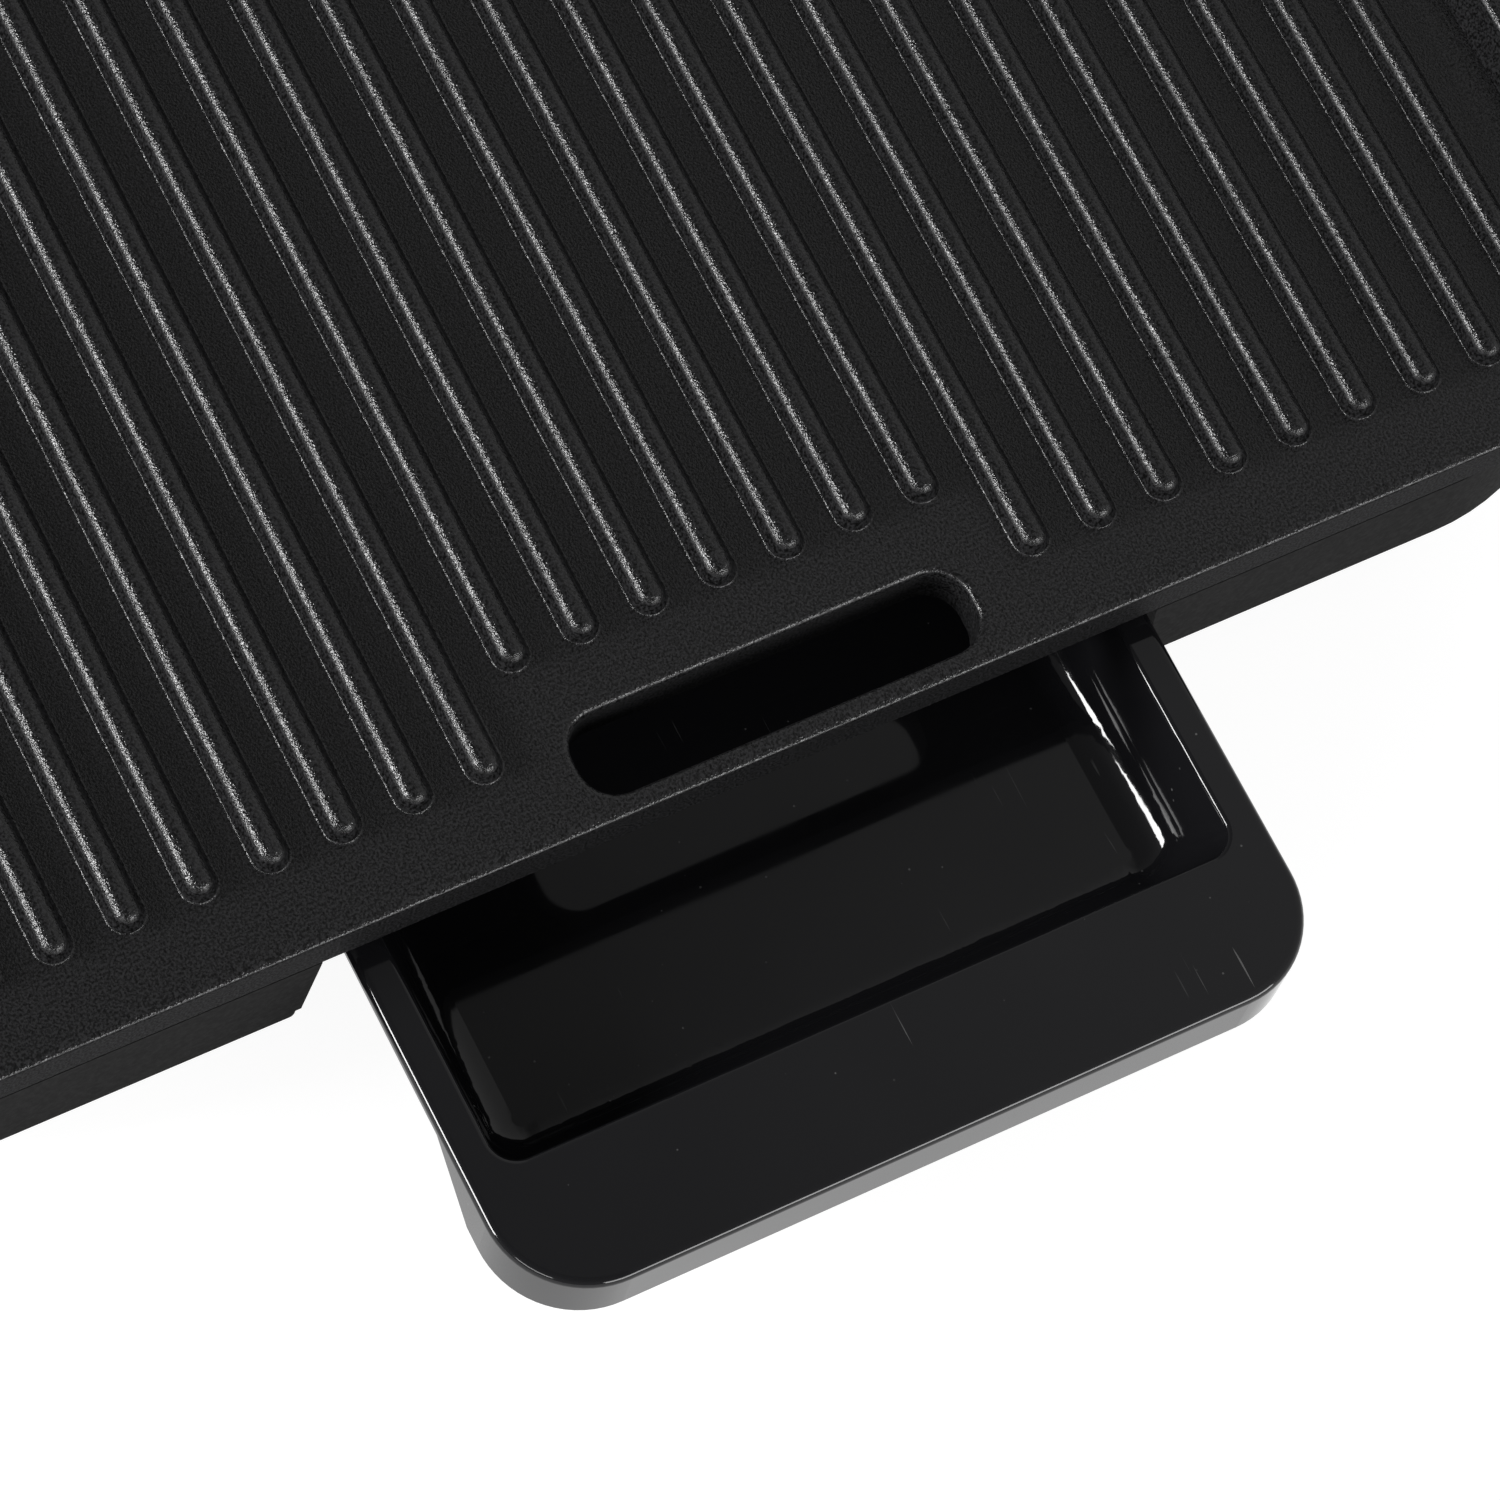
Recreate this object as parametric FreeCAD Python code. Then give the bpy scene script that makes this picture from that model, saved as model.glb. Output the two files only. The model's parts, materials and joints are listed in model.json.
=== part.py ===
"""Electric griddle: ribbed cast plate on a plastic base, slide-out drip tray, plug-in temperature controller.

Frame: origin on the table under the middle of the plate, +X right, +Y back, +Z up. Millimetres.
The user stands on the -Y side. The drip tray is modelled pulled part of the way out.
"""
import FreeCAD, Part
import math
import os

Vec = FreeCAD.Vector
X_AXIS = Vec(1, 0, 0)
Y_AXIS = Vec(0, 1, 0)
Z_AXIS = Vec(0, 0, 1)

# ---- griddle plate -----------------------------------------------------------------------------
PLATE_W = 458.0            # left to right
PLATE_D = 270.0            # front to back
PLATE_R = 36.0             # plan corner radius
FLOOR_Z = 54.0             # cooking surface between the ribs
SLAB_T = 4.5               # casting thickness under the cooking surface
BAND_H = 11.8              # upright band round the plate, measured down from the cooking surface
BAND_T = 4.0
RIM_H = 9.0                # raised rim on the left, right and back
RIM_FOOT = 10.0            # rim foot, inset from the plate's edge
RIM_TOP = 5.8              # rim crest, inset from the plate's edge
RIM_R = 2.2
RIM_FADE = 44.0            # the rim slopes down to nothing over this length at the front corners
BEVEL_W = 2.8              # shallow bevel along the front edge
BEVEL_H = 0.6
FRONT_EDGE_R = 1.3         # small round between that bevel and the band

RIB_PITCH = 16.0
RIB_COUNT = 26
RIB_H = 4.35
RIB_HALF = 4.55            # half of the rib's footprint, flare included
RIB_SLOPE = 64.0           # degrees, how steep its flanks are
RIB_SHIFT = 1.0            # the row of ribs sits this far right of the plate's middle
CROWN_R = 3.2
RIB_FRONT = 16.8           # rib end to the plate's front edge
RIB_BACK = 19.0
SHORT_RIB_FRONT = 36.8     # the ribs behind the drain slot stop earlier
SHORT_RIBS = range(10, 17)

SLOT_X = 9.0               # drain slot centre
SLOT_W = 92.5
SLOT_NEAR = 4.6            # slot walls to the plate's front edge
SLOT_FAR = 23.4
SLOT_R = 8.0
SLOT_EDGE_R = 1.7
CHUTE_T = 3.0

PLATE_FRONT = -PLATE_D / 2
BAND_Z = FLOOR_Z - BAND_H
SLAB_Z = FLOOR_Z - SLAB_T

# ---- base --------------------------------------------------------------------------------------
BASE_Z = 14.8              # underside of the base wall
BASE_R = 58.0
WALL_T = 2.5
SEAM = 0.5                 # gap between the base wall and the plate's band
BAY_LEFT = -100.3          # tray bay mouth at its top
BAY_RIGHT = 94.9
BAY_DRAFT = 3.2            # how much wider each side of the mouth is at the bottom
BAY_BACK = -12.0
BAY_WALL_TOP = 34.0
RAIL_TOP = 35.7
RAIL_T = 1.2
FOOT_X = 190.0
FOOT_Y = 96.0
FOOT_BORE = 4.2            # the screw head stands up inside the foot
FOOT_SEAT_Z = 7.0
FOOT_HOLE_R = 1.6
FOOT_BOSS_TOP = 24.0
FOOT_BOSS_R = 5.0
SUPPORT_POST_R = 9.0
REFLECTOR_POST_R = 4.5
SUPPORT_X = 207.0
SUPPORT_Y = 70.0
BUSH_Z = 33.0              # ceramic bushes stand on the base's posts at this height
BUSH_TOP = 41.8
BUSH_R = 8.0
BUSH_BORE_R = 5.3
SEAT_Z = 40.4              # the plate's pads stand at this height in their bushes
REFLECTOR_Z = 40.4
REFLECTOR_T = 0.8
REFLECTOR_HALF = 218.0
REFLECTOR_FRONT = -126.0
REFLECTOR_BACK = 98.0
REFLECTOR_R = 48.0
REFLECTOR_POSTS = [(-130, -60), (130, -60), (-130, 55), (130, 55), (0, 20), (0, 72)]
HANDLE_MID_Y = 10.0
HANDLE_HALF = 40.0
HANDLE_OUT = 28.0
HANDLE_Z = (20.0, 34.0)
HANDLE_SCREW_DY = 33.0
HANDLE_SCREW_R = 2.0
HANDLE_SCREW_L = 13.0

# ---- drip tray ---------------------------------------------------------------------------------
TRAY_TOP = 39.0
TRAY_HALF = 94.1
TRAY_FRONT = -219.9
TRAY_BACK = -68.0
TRAY_R = 22.0
FLANGE_T = 3.0
SKIRT_H = 15.9
SKIRT_T = 2.0
SKIRT_FULL_Y = -193.0      # the skirt keeps its depth up to here and ends at SKIRT_END_Y
SKIRT_END_Y = -176.0
PAN_HALF = 86.1            # pan mouth
PAN_FRONT = -188.7
PAN_BACK = -76.0
PAN_DEPTH = 24.0
PAN_DRAFT = 5.1
PAN_WALL = 2.0
PAN_R = 6.0
PAN_FLOOR_R = 11.5         # plan corner radius at the pan's floor
PAN_FILLET = 10.0          # wide round from the pan's walls to its floor
TRAY_EDGE_R = 1.8

# ---- heating element and its connection --------------------------------------------------------
TUBE_R = 3.3
TUBE_Z = 45.6
RIDGE_HALF = 5.6
RIDGE_Z = 44.0
BEND_R = 20.0
PORT_X = 95.0              # controller axis
PIN_DX = 12.0              # terminal pins left and right of it
PIN_R = 2.0
PIN_END = 130.0
TUBE_END = 106.0
PROBE_R = 2.5
PROBE_TIP = 62.5
PROBE_BORE_R = 2.8
PAD_R = 5.0                # the plate's feet, standing in the bushes
LUG_DX = 28.0              # lugs under the plate that carry the terminal shroud
LUG_Y = 114.0
LUG_Z = SLAB_Z - 3.0
LUG_R = 3.5
LUG_HOLE_R = 1.5
SHROUD_HALF = 21.0
SHROUD_T = 0.8
SHROUD_Z = 38.6
SHROUD_Y = (106.0, 134.0)

# ---- controller --------------------------------------------------------------------------------
CASE_HALF = 29.0
CASE_FRONT = 139.5
CASE_BACK = 217.9
CASE_Z = (27.0, 44.0, 59.0)   # underside, split line, top
CASE_R = 12.0
CASE_T = 2.2
NOSE_HALF = 19.0
NOSE_Z = (39.6, 49.2)
NOSE_Y = (114.0, 152.0)
DIAL_Y = 175.0
DIAL_R = 20.0
DIAL_Z = (60.4, 71.5)
DIAL_FLUTES = 24
DIAL_FLUTE_R = 1.7
POINTER_HALF = 0.9
SPINDLE_R = 3.0
SPINDLE_Z = 45.2
STACK_Z = 33.0             # bottom of the thermostat's stack
STACK_Y = (36.0, 42.0)     # its clamped end, behind the carrier
LENS_Y = 204.5
LENS_R = 3.6
CASE_SCREWS = [(PORT_X - 22, 160), (PORT_X + 22, 160), (PORT_X - 20, 206), (PORT_X + 20, 206)]



# ---- helpers -----------------------------------------------------------------------------------
def plan_wire(x0, y0, x1, y1, radii, z):
    """Closed rounded rectangle; radii go front-left, front-right, back-right, back-left."""
    corners = [(x0, y0), (x1, y0), (x1, y1), (x0, y1)]
    inward = [(1, 1), (-1, 1), (-1, -1), (1, -1)]
    start_angle = [180, 270, 0, 90]
    edges = []
    ends = []
    for (cx, cy), (ix, iy), angle, r in zip(corners, inward, start_angle, radii):
        centre = Vec(cx + ix * r, cy + iy * r, z)
        points = [centre + Vec(r * math.cos(math.radians(a)), r * math.sin(math.radians(a)), 0)
                  for a in (angle, angle + 45, angle + 90)]
        ends.append((points[0], points[2]))
        edges.append(Part.Arc(*points).toShape())
    wire = []
    for i in range(4):
        wire.append(edges[i])
        start, end = ends[i][1], ends[(i + 1) % 4][0]
        if start.distanceToPoint(end) > 1e-6:
            wire.append(Part.makeLine(start, end))
    return Part.Wire(wire)


def slab(x0, y0, x1, y1, radii, z0, z1):
    if not isinstance(radii, tuple):
        radii = (radii,) * 4
    return Part.Face(plan_wire(x0, y0, x1, y1, radii, z0)).extrude(Vec(0, 0, z1 - z0))


def centred(w, d, r, z0, z1):
    return slab(-w / 2, -d / 2, w / 2, d / 2, r, z0, z1)


def tapered(lower, upper):
    """Solid between two rounded rectangles, each given as (x0, y0, x1, y1, r, z)."""
    wires = [plan_wire(x0, y0, x1, y1, (r,) * 4, z) for x0, y0, x1, y1, r, z in (lower, upper)]
    return Part.makeLoft(wires, True, True)


def box(x0, y0, z0, x1, y1, z1):
    return Part.makeBox(x1 - x0, y1 - y0, z1 - z0, Vec(x0, y0, z0))


def rod(start, length, r, axis=Z_AXIS):
    return Part.makeCylinder(r, length, start, axis)


def tube(start, length, r_out, r_in, axis=Z_AXIS):
    return rod(start, length, r_out, axis).cut(rod(start, length, r_in, axis))


def prism(points, direction):
    """Extrude the polygon through points along direction."""
    return Part.Face(Part.makePolygon(points + [points[0]])).extrude(direction)


def turned(profile, centre):
    """Solid of revolution about the vertical through centre, from (radius, z) points."""
    points = [centre + Vec(r, 0, z) for r, z in profile]
    return Part.Face(Part.makePolygon(points + [points[0]])).revolve(centre, Z_AXIS, 360)


def fuse(shapes):
    whole = shapes[0].fuse(shapes[1:])
    return whole.removeSplitter()


def round_edges(shape, radius, wanted):
    """Fillet the edges that wanted(edge) picks."""
    edges = [e for e in shape.Edges if wanted(e)]
    return shape.makeFillet(radius, edges)


def level(edge, z, tolerance=0.01):
    b = edge.BoundBox
    return abs(b.ZMin - z) < tolerance and abs(b.ZMax - z) < tolerance


def save(name, *shapes):
    solids = [s for shape in shapes for s in shape.Solids]
    out = solids[0] if len(solids) == 1 else Part.makeCompound(solids)
    if not out.isValid():
        raise ValueError("invalid shape: " + name)
    out.exportStep("parts/" + name + ".step")
    print("%-26s %2d solid(s) %9.0f mm3" % (name, len(solids), sum(s.Volume for s in solids)))


def four(x, y):
    return {"front_left": (-x, -y), "front_right": (x, -y), "back_left": (-x, y), "back_right": (x, y)}


# ---- griddle plate -----------------------------------------------------------------------------
def rib_solid(x, y0, y1):
    """One rib: flared foot, sloping flanks, round crown and round ends, sunk a little into the floor."""
    slope = math.radians(RIB_SLOPE)
    hip_angle = math.pi / 2 - slope
    hip_height = RIB_H - CROWN_R + CROWN_R * math.cos(slope)
    flank_foot = CROWN_R * math.sin(slope) + hip_height / math.tan(slope)
    flare_r = (RIB_HALF - flank_foot) / math.tan(slope / 2)
    crown_centre = Vec(x, 0, FLOOR_Z + RIB_H - CROWN_R)
    flare_centre = Vec(x + RIB_HALF, 0, FLOOR_Z + flare_r)

    def on_crown(y, angle):
        return crown_centre + Vec(CROWN_R * math.cos(angle), y, CROWN_R * math.sin(angle))

    def on_flare(y, angle):
        return flare_centre + Vec(-flare_r * math.sin(angle), y, -flare_r * math.cos(angle))

    def half_profile(y):
        foot = on_flare(y, 0)
        flare_mid = on_flare(y, slope / 2)
        bend = on_flare(y, slope)
        hip = on_crown(y, hip_angle)
        crown = on_crown(y, math.pi / 2)
        crown_mid = on_crown(y, (hip_angle + math.pi / 2) / 2)
        low_out = foot - Vec(0, 0, 1)
        low_in = Vec(x, y, FLOOR_Z - 1)
        return Part.Wire([
            Part.makeLine(low_in, low_out),
            Part.makeLine(low_out, foot),
            Part.Arc(foot, flare_mid, bend).toShape(),
            Part.makeLine(bend, hip),
            Part.Arc(hip, crown_mid, crown).toShape(),
            Part.makeLine(crown, low_in),
        ])

    ends = []
    for y, sweep_angle in ((y0 + RIB_HALF, -180), (y1 - RIB_HALF, 180)):
        face = Part.Face(half_profile(y))
        ends.append(face.revolve(Vec(x, y, 0), Z_AXIS, sweep_angle))
    half = Part.Face(half_profile(y0 + RIB_HALF)).extrude(Vec(0, y1 - y0 - 2 * RIB_HALF, 0))
    other = half.mirror(Vec(x, 0, 0), X_AXIS)
    return fuse([half, other] + ends)


def element_wire(z):
    """Centre line of the heating element: one meander round the plate, ends side by side at the back."""
    left = PORT_X - PIN_DX
    right = PORT_X + PIN_DX
    side = 188.0
    inner = 75.0
    points = [(left, TUBE_END), (left, 84), (-side, 84), (-side, -92), (-inner, -92), (-inner, 42),
              (inner, 42), (inner, -92), (side, -92), (side, 84), (right, 84), (right, TUBE_END)]
    points = [Vec(px, py, z) for px, py in points]
    edges = []
    last = points[0]
    for before, corner, after in zip(points, points[1:], points[2:]):
        into = (corner - before).normalize()
        out = (after - corner).normalize()
        r = min(BEND_R, 0.45 * (corner - before).Length, 0.45 * (after - corner).Length)
        start = corner - into * r
        end = corner + out * r
        centre = corner - into * r + out * r
        middle = centre + (corner - centre).normalize() * r
        edges.append(Part.makeLine(last, start))
        edges.append(Part.Arc(start, middle, end).toShape())
        last = end
    edges.append(Part.makeLine(last, points[-1]))
    return Part.Wire(edges)


def sweep(wire, section):
    return wire.makePipeShell([section], True, False)


def element_tube(radius):
    wire = element_wire(TUBE_Z)
    start = wire.OrderedVertexes[0].Point
    return sweep(wire, Part.Wire(Part.makeCircle(radius, start, Y_AXIS)))


def element_ridge():
    wire = element_wire(TUBE_Z)
    s = wire.OrderedVertexes[0].Point
    corners = [Vec(s.x + dx, s.y, z) for dx, z in ((-RIDGE_HALF, RIDGE_Z), (RIDGE_HALF, RIDGE_Z),
                                                   (RIDGE_HALF, SLAB_Z + 1), (-RIDGE_HALF, SLAB_Z + 1))]
    return sweep(wire, Part.makePolygon(corners + [corners[0]]))


def slot_prism(grow, z0, z1):
    x0 = SLOT_X - SLOT_W / 2 - grow
    x1 = SLOT_X + SLOT_W / 2 + grow
    y0 = PLATE_FRONT + SLOT_NEAR - grow
    y1 = PLATE_FRONT + SLOT_FAR + grow
    return slab(x0, y0, x1, y1, SLOT_R + grow, z0, z1)


def cooking_hollow():
    """Space above the cooking surface, with the rim's sloping inner face, open to the front."""
    half = PLATE_W / 2
    top = RIM_H + 1.0
    slope = (RIM_FOOT - RIM_TOP) / RIM_H
    levels = []
    for z in (0.0, top):
        inset = RIM_FOOT - slope * z
        levels.append((-half + inset, PLATE_FRONT - 60, half - inset, -PLATE_FRONT - inset,
                       PLATE_R - inset, FLOOR_Z + z))
    return tapered(*levels)


def bevel_bar():
    """What is cut away along the front edge: the shallow bevel, and a small round between it and the band."""
    tilt = math.atan2(BEVEL_H, BEVEL_W)
    r = FRONT_EDGE_R
    centre = Vec(-300, PLATE_FRONT + r, FLOOR_Z - BEVEL_H - r * (1 - math.sin(tilt)) / math.cos(tilt))

    def on_round(angle):
        return centre + Vec(0, r * math.cos(angle), r * math.sin(angle))

    low = on_round(math.pi)
    high = on_round(math.pi / 2 + tilt)
    middle = on_round((3 * math.pi / 2 + tilt) / 2)
    inner = Vec(-300, PLATE_FRONT + BEVEL_W, FLOOR_Z)
    outer_top = Vec(-300, PLATE_FRONT - 1, FLOOR_Z)
    outer_low = Vec(-300, PLATE_FRONT - 1, low.z)
    wire = Part.Wire([
        Part.Arc(low, middle, high).toShape(),
        Part.makeLine(high, inner),
        Part.makeLine(inner, outer_top),
        Part.makeLine(outer_top, outer_low),
        Part.makeLine(outer_low, low),
    ])
    return Part.Face(wire).extrude(Vec(600, 0, 0))


def griddle_plate():
    body = centred(PLATE_W, PLATE_D, PLATE_R, BAND_Z, FLOOR_Z + RIM_H)
    body = body.cut(cooking_hollow())
    fade_y = PLATE_FRONT + RIM_FADE
    fade = prism([Vec(-300, PLATE_FRONT - 1, FLOOR_Z), Vec(-300, PLATE_FRONT + 4, FLOOR_Z),
                  Vec(-300, fade_y, FLOOR_Z + RIM_H), Vec(-300, fade_y, FLOOR_Z + 20),
                  Vec(-300, PLATE_FRONT - 1, FLOOR_Z + 20)], Vec(600, 0, 0))
    body = body.cut(fade)
    inner = centred(PLATE_W - 2 * BAND_T, PLATE_D - 2 * BAND_T, PLATE_R - BAND_T, BAND_Z, SLAB_Z)
    body = body.cut(inner)
    body = round_edges(body, RIM_R, lambda e: level(e, FLOOR_Z + RIM_H))
    body = body.cut(bevel_bar())
    chute = slot_prism(CHUTE_T, BAND_Z, SLAB_Z + 1).common(centred(PLATE_W, PLATE_D, PLATE_R, 0, 100))
    supports = four(SUPPORT_X, SUPPORT_Y).values()
    pads = [rod(Vec(x, y, SEAT_Z), SLAB_Z + 1 - SEAT_Z, PAD_R) for x, y in supports]
    boss = box(PORT_X - 5.5, 58, BAND_Z, PORT_X + 5.5, 104, SLAB_Z + 1)
    lugs = [rod(Vec(PORT_X + dx, LUG_Y, LUG_Z), SLAB_Z + 1 - LUG_Z, LUG_R) for dx in (-LUG_DX, LUG_DX)]
    body = fuse([body, chute, element_ridge(), boss] + pads + lugs)
    body = body.cut(element_tube(TUBE_R + 0.05))
    body = body.cut(slot_prism(0, BAND_Z - 1, FLOOR_Z + 1))
    body = round_edges(body, SLOT_EDGE_R, lambda e: level(e, FLOOR_Z) and in_slot(e))
    body = body.cut(rod(Vec(PORT_X, PROBE_TIP - 1.5, TUBE_Z), 60, PROBE_BORE_R, Y_AXIS))
    window = box(PORT_X - 24, 120, BAND_Z - 1, PORT_X + 24, 140, SLAB_Z)
    body = body.cut(window)
    for dx in (-LUG_DX, LUG_DX):
        body = body.cut(rod(Vec(PORT_X + dx, LUG_Y, LUG_Z - 1), 6, LUG_HOLE_R))
    ribs = []
    for i in range(RIB_COUNT):
        x = (i - (RIB_COUNT - 1) / 2) * RIB_PITCH + RIB_SHIFT
        front = SHORT_RIB_FRONT if i in SHORT_RIBS else RIB_FRONT
        ribs.append(rib_solid(x, PLATE_FRONT + front, -PLATE_FRONT - RIB_BACK))
    return fuse([body] + ribs)


def in_slot(edge):
    b = edge.BoundBox
    half = SLOT_W / 2 + 0.5
    inside_x = SLOT_X - half < b.XMin and b.XMax < SLOT_X + half
    inside_y = PLATE_FRONT + SLOT_NEAR - 0.5 < b.YMin and b.YMax < PLATE_FRONT + SLOT_FAR + 0.5
    return inside_x and inside_y


def plate_parts():
    save("griddle_plate", griddle_plate())
    save("heating_element", element_tube(TUBE_R))
    pins = []
    beads = []
    for dx in (-PIN_DX, PIN_DX):
        start = Vec(PORT_X + dx, TUBE_END, TUBE_Z)
        pins.append(rod(start, PIN_END - TUBE_END, PIN_R, Y_AXIS).fuse(
            Part.makeSphere(PIN_R, Vec(PORT_X + dx, PIN_END, TUBE_Z))))
        beads.append(tube(start, 6, 3.0, PIN_R, Y_AXIS))
    save("terminal_pins", *pins)
    save("terminal_insulators", *beads)
    terminal_shroud()


def terminal_shroud():
    """Sheet-metal hood round the terminal pins, open to the back, with two tabs screwed on from below."""
    half, t, z0 = SHROUD_HALF, SHROUD_T, SHROUD_Z
    y0, y1 = SHROUD_Y
    tab_z = LUG_Z - t
    outer = box(PORT_X - half, y0, z0, PORT_X + half, y1, SLAB_Z)
    inner = box(PORT_X - half + t, y0 + 1, z0 + t, PORT_X + half - t, y1 + 1, SLAB_Z + 1)
    tabs = box(PORT_X - LUG_DX - 5, LUG_Y - 5, tab_z, PORT_X + LUG_DX + 5, LUG_Y + 5, LUG_Z)
    tabs = tabs.cut(box(PORT_X - half, y0 - 1, z0, PORT_X + half, y1 + 1, SLAB_Z))
    pin_window = box(PORT_X - half + 4, y0 - 1, z0 + 1.9, PORT_X + half - 4, y0 + 4, SLAB_Z + 1)
    shroud = outer.cut(inner).fuse(tabs).cut(pin_window)
    screws = []
    for dx in (-LUG_DX, LUG_DX):
        shroud = shroud.cut(rod(Vec(PORT_X + dx, LUG_Y, z0), SLAB_Z - z0, LUG_HOLE_R))
        head = rod(Vec(PORT_X + dx, LUG_Y, tab_z - 1.8), 1.8, 2.9)
        screws.append(head.fuse(rod(Vec(PORT_X + dx, LUG_Y, tab_z), 5.2, LUG_HOLE_R)))
    save("terminal_shroud", shroud)
    save("shroud_screws", *screws)


# ---- base --------------------------------------------------------------------------------------
def bay_prism(y0, y1):
    """Tray bay: an upright slot through the front wall and floor, wider towards the bottom."""
    low = BASE_Z - 1
    drop = BAY_DRAFT * (60 - low) / (BAND_Z - BASE_Z)
    top_left = BAY_LEFT + BAY_DRAFT * (60 - BAND_Z) / (BAND_Z - BASE_Z)
    top_right = BAY_RIGHT - BAY_DRAFT * (60 - BAND_Z) / (BAND_Z - BASE_Z)
    return prism([Vec(top_left - drop, y0, low), Vec(top_right + drop, y0, low),
                  Vec(top_right, y0, 60), Vec(top_left, y0, 60)], Vec(0, y1 - y0, 0))


def base_frame():
    top = BAND_Z - SEAM
    body = centred(PLATE_W, PLATE_D, BASE_R, BASE_Z, top)
    body = round_edges(body, 1.0, lambda e: level(e, BASE_Z))
    body = body.cut(centred(PLATE_W - 2 * WALL_T, PLATE_D - 2 * WALL_T, BASE_R - WALL_T,
                            BASE_Z + WALL_T, top + 1))
    walls = []
    floor_left = BAY_LEFT - BAY_DRAFT - WALL_T
    floor_right = BAY_RIGHT + BAY_DRAFT + WALL_T
    front = PLATE_FRONT + WALL_T
    back = BAY_BACK + WALL_T
    walls.append(box(floor_left, front, BASE_Z + 1, floor_left + WALL_T, back, BAY_WALL_TOP))
    walls.append(box(floor_right - WALL_T, front, BASE_Z + 1, floor_right, back, BAY_WALL_TOP))
    walls.append(box(floor_left, BAY_BACK, BASE_Z + 1, floor_right, back, BAY_WALL_TOP))
    post_h = REFLECTOR_Z - BASE_Z - 1
    posts = [rod(Vec(x, y, BASE_Z + 1), post_h, REFLECTOR_POST_R) for x, y in REFLECTOR_POSTS]
    supports = four(SUPPORT_X, SUPPORT_Y).values()
    feet = four(FOOT_X, FOOT_Y).values()
    posts += [rod(Vec(x, y, BASE_Z + 1), BUSH_Z - BASE_Z - 1, SUPPORT_POST_R) for x, y in supports]
    posts += [rod(Vec(x, y, BASE_Z + 1), FOOT_BOSS_TOP - BASE_Z - 1, FOOT_BOSS_R) for x, y in feet]
    body = body.cut(box(floor_left + WALL_T, -200, 0, floor_right - WALL_T, BAY_BACK, BASE_Z + WALL_T + 1))
    body = fuse([body] + walls + posts)
    body = body.cut(bay_prism(PLATE_FRONT - 1, front))
    port = box(PORT_X - 31, 125, 34, PORT_X + 31, 140, 60)
    body = body.cut(port)
    for x, y in REFLECTOR_POSTS:
        body = body.cut(rod(Vec(x, y, REFLECTOR_Z - 12), 20, 1.5))
    for x, y in feet:
        body = body.cut(rod(Vec(x, y, 0), FOOT_BOSS_TOP + 1, FOOT_HOLE_R))
    for sx in (-1, 1):
        for dy in (-1, 1):
            x = sx * (PLATE_W / 2 - 10)
            y = HANDLE_MID_Y + dy * HANDLE_SCREW_DY
            body = body.cut(rod(Vec(x, y, sum(HANDLE_Z) / 2), 12, HANDLE_SCREW_R, X_AXIS * sx))
    vents = [slab(x - 2, y - 18, x + 2, y + 18, 2.0, BASE_Z - 1, BASE_Z + 5)
             for x in (-150, -138, -114, 114, 126, 138, 150) for y in (10, 80)]
    vents = [v for v in vents if not near_post(v)]
    for v in vents:
        body = body.cut(v)
    return round_edges(body, 1.8, bay_bottom_corner)


def near_post(shape):
    b = shape.BoundBox
    return any(b.XMin - 6 < x < b.XMax + 6 and b.YMin - 6 < y < b.YMax + 6 for x, y in REFLECTOR_POSTS)


def bay_bottom_corner(edge):
    """Edge through the front wall's thickness where the bay's mouth meets the wall's underside."""
    b = edge.BoundBox
    through = abs(b.YLength - WALL_T) < 1.2 and b.XLength < 0.1 and b.ZLength < 0.1
    return through and b.YMax < PLATE_FRONT + WALL_T + 0.1 and b.ZMax < BASE_Z + 0.1 and abs(b.XMin) < 110


def base_parts():
    save("base_frame", base_frame())
    feet = four(FOOT_X, FOOT_Y)
    for place, (x, y) in feet.items():
        foot = turned([(FOOT_HOLE_R, FOOT_SEAT_Z), (FOOT_BORE, FOOT_SEAT_Z), (FOOT_BORE, 0), (9.0, 0),
                       (10.5, 1), (12.5, BASE_Z), (FOOT_HOLE_R, BASE_Z)], Vec(x, y, 0))
        save("rubber_foot_" + place, foot)
    screw = [(0, FOOT_SEAT_Z - 2.4), (2.6, FOOT_SEAT_Z - 2.4), (3.4, FOOT_SEAT_Z - 1.6), (3.4, FOOT_SEAT_Z),
             (FOOT_HOLE_R, FOOT_SEAT_Z), (FOOT_HOLE_R, FOOT_BOSS_TOP - 2), (0, FOOT_BOSS_TOP - 2)]
    save("foot_screws", *[turned(screw, Vec(x, y, 0)) for x, y in feet.values()])
    for place, (x, y) in four(SUPPORT_X, SUPPORT_Y).items():
        bush = turned([(0, BUSH_Z), (BUSH_R, BUSH_Z), (BUSH_R, BUSH_TOP - 0.8), (BUSH_R - 0.8, BUSH_TOP),
                       (BUSH_BORE_R, BUSH_TOP), (BUSH_BORE_R, SEAT_Z), (0, SEAT_Z)], Vec(x, y, 0))
        save("plate_support_bush_" + place, bush)
    save("heat_reflector", heat_reflector())
    z = REFLECTOR_Z + REFLECTOR_T
    screw = [(0, z - 10), (1.5, z - 10), (1.5, z), (2.8, z), (2.4, z + 1), (0, z + 1.2)]
    save("reflector_screws", *[turned(screw, Vec(x, y, 0)) for x, y in REFLECTOR_POSTS])
    rail("tray_rail_left", BAY_LEFT - BAY_DRAFT, 1)
    rail("tray_rail_right", BAY_RIGHT + BAY_DRAFT, -1)
    handles()


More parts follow.
